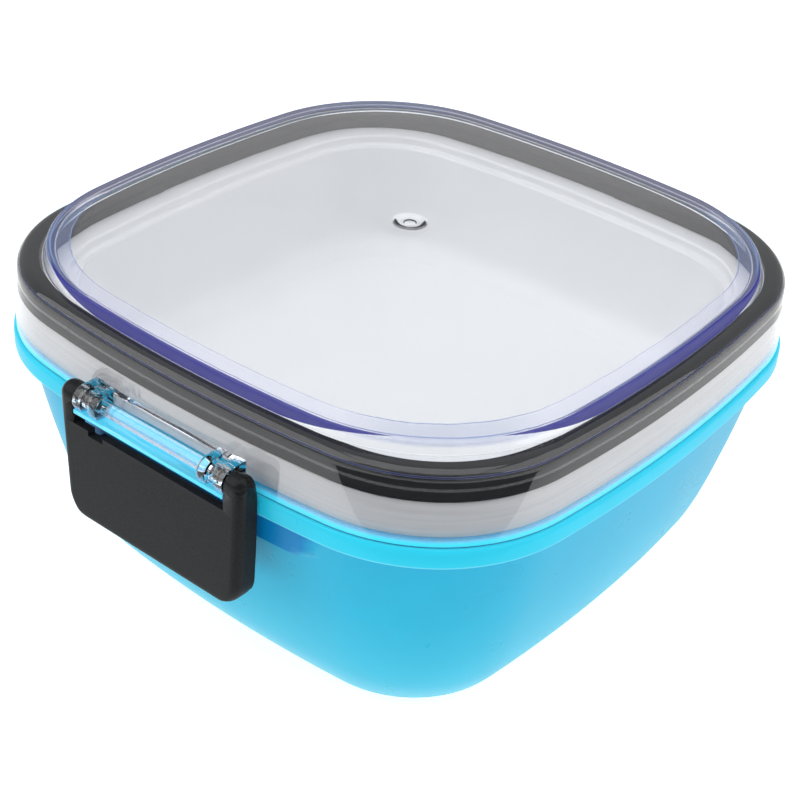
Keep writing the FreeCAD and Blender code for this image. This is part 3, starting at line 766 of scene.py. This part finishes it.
def hinge():
    """A plate with a shelf at its foot, a rod, and two knuckles at each end, bored for a pin."""
    made = bar(((-HINGE_ROOT, SHELF_LOW), (-LATCH_FACE, SHELF_LOW), (-LATCH_FACE, SHELF_TOP),
                (-PLATE_OUT, SHELF_TOP), (-PLATE_OUT, PLATE_TOP), (-HINGE_ROOT, PLATE_TOP)),
               -HINGE_HALF, HINGE_HALF, 0.25)
    combine(made, bar(ring_of(ROD), -ROD_HALF, ROD_HALF, 0.3), "UNION")
    for sign in (-1, 1):
        for x0, x1, radius in ((16.4, 19.0, KNUCKLE), (18.5, 22.0, NECK),
                               (21.6, HINGE_HALF, KNUCKLE)):
            knuckle = bar(knuckle_profile(radius), sign * x0, sign * x1, 0.3)
            combine(made, knuckle, "UNION")
    for sign in (-1, 1):
        hole = bar(ring_of(BORE, 32), sign * BORE_START, sign * (HINGE_HALF + 0.6))
        combine(made, hole, "DIFFERENCE")
    return made


def round_ring(radius, z):
    """A ring that is nearly a circle: (outline, height)."""
    return (radius, radius * 0.995, radius), z


def lid_rings():
    """From the middle of the dome out and down to the skirt's foot, and back underneath."""
    rings = [round_ring(radius, DOME_Z) for radius in (0.5, 2.5, 5.0)]
    dome = (0.12, 0.22, 0.34, 0.46, 0.58, 0.7, 0.8, 0.9, 0.96)
    rings += [(scaled(DOME_HALF * t), DOME_Z - DOME_RISE * t * t) for t in dome]
    top = PANEL_Z - 0.1
    wall = rounded(((DOME_HALF - 1.0, top + 0.15, 0), (PANEL_HALF, top, 1.0),
                    (PANEL_BASE, SHOULDER_TOP, 0.6), (PANEL_BASE + 0.5, SHOULDER_TOP, 0)), steps=6)
    rings += [(scaled(half), z) for half, z in wall[1:-1]]
    outer = SKIRT_HALF - SKIRT_DRAFT - SHOULDER_ROUND
    for angle in range(90, -1, -9):
        a = math.radians(angle)
        rings.append((offset(outer + SHOULDER_ROUND * math.cos(a)),
                      SHOULDER_TOP - SHOULDER_ROUND * (1 - math.sin(a))))
    inside = SKIRT_HALF - SKIRT_WALL
    foot = rounded(((SKIRT_HALF - 0.5, FOOT_Z + 8, 0), (SKIRT_HALF, FOOT_Z, 0.35),
                    (inside, FOOT_Z, 0.35), (inside - SKIRT_DRAFT, SHOULDER_UNDER, 0.5),
                    (78.7, SHOULDER_UNDER, 0)))
    rings += [(offset(half), z) for half, z in foot[1:-1]]
    # back under the shoulder, up inside the panel's wall and under the dome
    wall = rounded(((80.5, SHOULDER_UNDER, 0), (PANEL_BASE - 1.5, SHOULDER_UNDER, 0.3),
                    (PANEL_HALF - LID_WALL, top - LID_WALL, 0.8),
                    (PANEL_HALF - 5.0, top - LID_WALL + 0.4, 0)))
    rings += [(scaled(half), z) for half, z in wall[1:-1]]
    under = DOME_Z - LID_WALL
    rings += [(scaled(DOME_HALF * t), under - DOME_RISE * t * t) for t in reversed(dome[:-1])]
    # the gate's round pad under the dome, with a small pit in its middle
    pad = ((5.0, 0.0), (4.2, 0.05), (3.9, 0.2), (3.4, 0.6), (2.6, 0.8), (1.7, 0.8), (1.5, 0.6),
           (1.3, 0.5), (0.4, 0.5))
    return rings + [round_ring(radius, under - drop) for radius, drop in pad]


def crown(x, y, z):
    """1 along the middles of the four sides, 0 along the diagonals."""
    return ((x * x - y * y) / max(x * x + y * y, 1e-6)) ** 2


def lid():
    bm = bmesh.new()
    add_rings(bm, lid_rings(), closed=False)
    shell = solid("lid_shell", bm)
    for turn in (0, math.pi):
        made = hinge()
        made.data.transform(Matrix.Rotation(turn, 4, "Z"))
        combine(shell, made, "UNION")
    piece = finish_mesh("lid_clear_shell", take_mesh(shell), "lid", CLEAR, ("lid",),
                        sharp=30)
    # the panel's scaled half width and the sides' middles, where the clear material places its
    # painted edge light
    paint(piece, "reach", lambda x, y, z: panel_reach(x, y))
    paint(piece, "crown", crown)


lid()


# ---------------------------------------------------------------- latches
BLOCK_LOW, BLOCK_HALF = LATCH_LOW + FOOT_INSET, LATCH_HALF - SIDE_INSET
QUARTER = [(math.cos(math.pi / 2 * t), math.sin(math.pi / 2 * t)) for t in shares(8)]


def circle_gap(radius, short):
    """How far a rounded end has drawn in from its full width, at a length from its tip."""
    return radius - math.sqrt(radius ** 2 - (radius - short) ** 2)


def plate_section(z):
    """Half of the latch's outside below the axis, from front middle to back middle."""
    up, soft = z - BLOCK_LOW, LATCH_SOFT
    wide = BLOCK_HALF - LATCH_TAPER * (AXIS_Z - z) / (AXIS_Z - BLOCK_LOW)
    if up < LATCH_CORNER:
        wide -= circle_gap(LATCH_CORNER, up)
    front, back = AXIS_OUT + EAR_ROUND, AXIS_OUT - EAR_ROUND - BACK_SPARE
    if up < soft:
        front -= circle_gap(soft, up)
    hind = 0.5 + (soft - 0.5) * max(0.0, 1 - (AXIS_Z - z) / 5)
    points = [(wide - soft + soft * c, -(front - soft + soft * s)) for c, s in reversed(QUARTER)]
    return points + [(wide - hind + hind * c, -(back + hind - hind * s)) for c, s in QUARTER]


def ear_section(z):
    """Half of the latch's outside above the axis, where it is round about the pins."""
    up, soft = z - AXIS_Z, LATCH_SOFT
    rise = max(0.0, up - (EAR_ROUND - soft))
    reach = math.sqrt(max(soft ** 2 - rise ** 2, 0.0))
    points = []
    for c, s in reversed(QUARTER):
        across = reach * c
        around = EAR_ROUND - soft + math.sqrt(soft ** 2 - across ** 2)
        deep = math.sqrt(max(around ** 2 - up ** 2, 0.0)) + 0.001
        points.append((BLOCK_HALF - soft + across, deep))
    return ([(x, -AXIS_OUT - deep) for x, deep in points]
            + [(x, -AXIS_OUT + deep) for x, deep in reversed(points)])


def soft_block():
    """The outside of a latch as a closed block; its top face is a thin strip over the ears."""
    plate = AXIS_Z - BLOCK_LOW - LATCH_CORNER
    heights = [BLOCK_LOW + LATCH_SOFT * (1 - math.cos(math.pi / 2 * t)) for t in shares(8)]
    heights += [BLOCK_LOW + LATCH_CORNER * t for t in shares(8)[4:]]
    heights += [BLOCK_LOW + LATCH_CORNER + plate * t for t in shares(12)[1:]]
    heights += [AXIS_Z + EAR_ROUND * math.sin(math.pi / 2 * i / 10.2) for i in range(1, 11)]
    bm = bmesh.new()
    loops = []
    for z in heights:
        half = plate_section(z) if z <= AXIS_Z else ear_section(z)
        ring = half + [(-x, y) for x, y in reversed(half)]
        loops.append([bm.verts.new((x * MM, y * MM, z * MM)) for x, y in ring])
    for low, high in zip(loops, loops[1:]):
        join_loops(bm, low, high)
    bm.faces.new(loops[0])
    bm.faces.new(loops[-1])
    return solid("block", bm)


def latch(name, turn):
    """The CAD latch cut to a softly rounded, tapering outside."""
    block = soft_block()
    block.data.transform(Matrix.Rotation(turn, 4, "Z"))
    bm = bmesh.new()
    bm.from_mesh(nodes[name].data)
    bmesh.ops.remove_doubles(bm, verts=bm.verts, dist=1e-6)
    body = solid(name + "_cut", bm)
    combine(body, block, "INTERSECT")
    bm = take_mesh(body)
    bmesh.ops.remove_doubles(bm, verts=bm.verts, dist=2e-6)
    piece = finish_mesh(name + "_shell", bm, name, BLACK, (name,), sharp=26)
    even = piece.modifiers.new("normals", "WEIGHTED_NORMAL")
    even.keep_sharp = True


latch("latch_front", 0)
latch("latch_rear", math.pi)


# ---------------------------------------------------------------- studio
def stage_material(name, grey, roughness, glow=0.0):
    material, tree = new_material(name)
    show(tree, node(tree, "ShaderNodeBsdfPrincipled", Roughness=roughness, Base_Color=(*grey, 1),
                    Emission_Color=(1, 1, 1, 1), Emission_Strength=glow))
    return material


def sheet(name, width, depth, material):
    bm = bmesh.new()
    bm.faces.new([bm.verts.new((x * width / 2, y * depth / 2, 0))
                  for x, y in ((-1, -1), (1, -1), (1, 1), (-1, 1))])
    made = new_object(name, bm)
    made.data.materials.append(material)
    return made


def from_camera(turn, distance, height):
    """A place round the container, turned from the camera's side."""
    a = AZIMUTH + math.radians(turn)
    return Vector((math.sin(a) * distance, -math.cos(a) * distance, height))


def cards():
    """Dark cards on the camera's side that draw the edges of the clear lid.

    Both are seen in reflections only, but for the high one, which also shows through the lid.
    """
    black = stage_material("card_black", (0.01, 0.01, 0.012), 0.9)
    for name, turn, distance, height, width, depth in (
            ("card_low", 7, 0.29, 0.002, 0.36, 0.26), ("card_high", 0, 0.75, 0.42, 0.5, 0.5)):
        card = sheet(name, width, depth, black)
        card.location = from_camera(turn, distance, height)
        card.rotation_euler = (0, 0, AZIMUTH + math.radians(turn))
        if name == "card_high":
            aim = Vector((0, 0, 0.05)) - card.location
            card.rotation_euler = aim.to_track_quat("Z", "Y").to_euler()
        card.visible_camera = card.visible_diffuse = card.visible_shadow = False
        card.visible_transmission = name == "card_high"


def lamps():
    """Big soft lights at both sides and one above, towards the camera; lengths in metres."""
    for name, turn, distance, height, size, power in (
            ("left", -80, 1.3, 1.05, 1.5, 11.0), ("right", 80, 1.3, 1.0, 1.5, 9.5),
            ("top", 0, 0.3, 1.4, 1.2, 6.5)):
        light = bpy.data.lights.new(name, "AREA")
        light.size, light.energy = size, power
        lamp = bpy.data.objects.new(name, light)
        lamp.location = from_camera(turn, distance, height)
        lamp.rotation_euler = (-lamp.location).to_track_quat("-Z", "Y").to_euler()
        bpy.context.scene.collection.objects.link(lamp)


def studio():
    """A pale floor that glows, so that shadows stay faint, under an even sky."""
    sheet("floor", 8.0, 8.0, stage_material("floor_white", (0.55, 0.55, 0.55), 0.6, 0.78))
    cards()
    scene = bpy.context.scene
    scene.world = bpy.data.worlds.new("studio")
    scene.world.use_nodes = True
    sky = scene.world.node_tree.nodes["Background"].inputs
    sky["Color"].default_value = (1, 1, 1, 1)
    sky["Strength"].default_value = 0.56
    lamps()
    scene.view_settings.view_transform = "Standard"
    scene.cycles.max_bounces = scene.cycles.transmission_bounces = 20


studio()
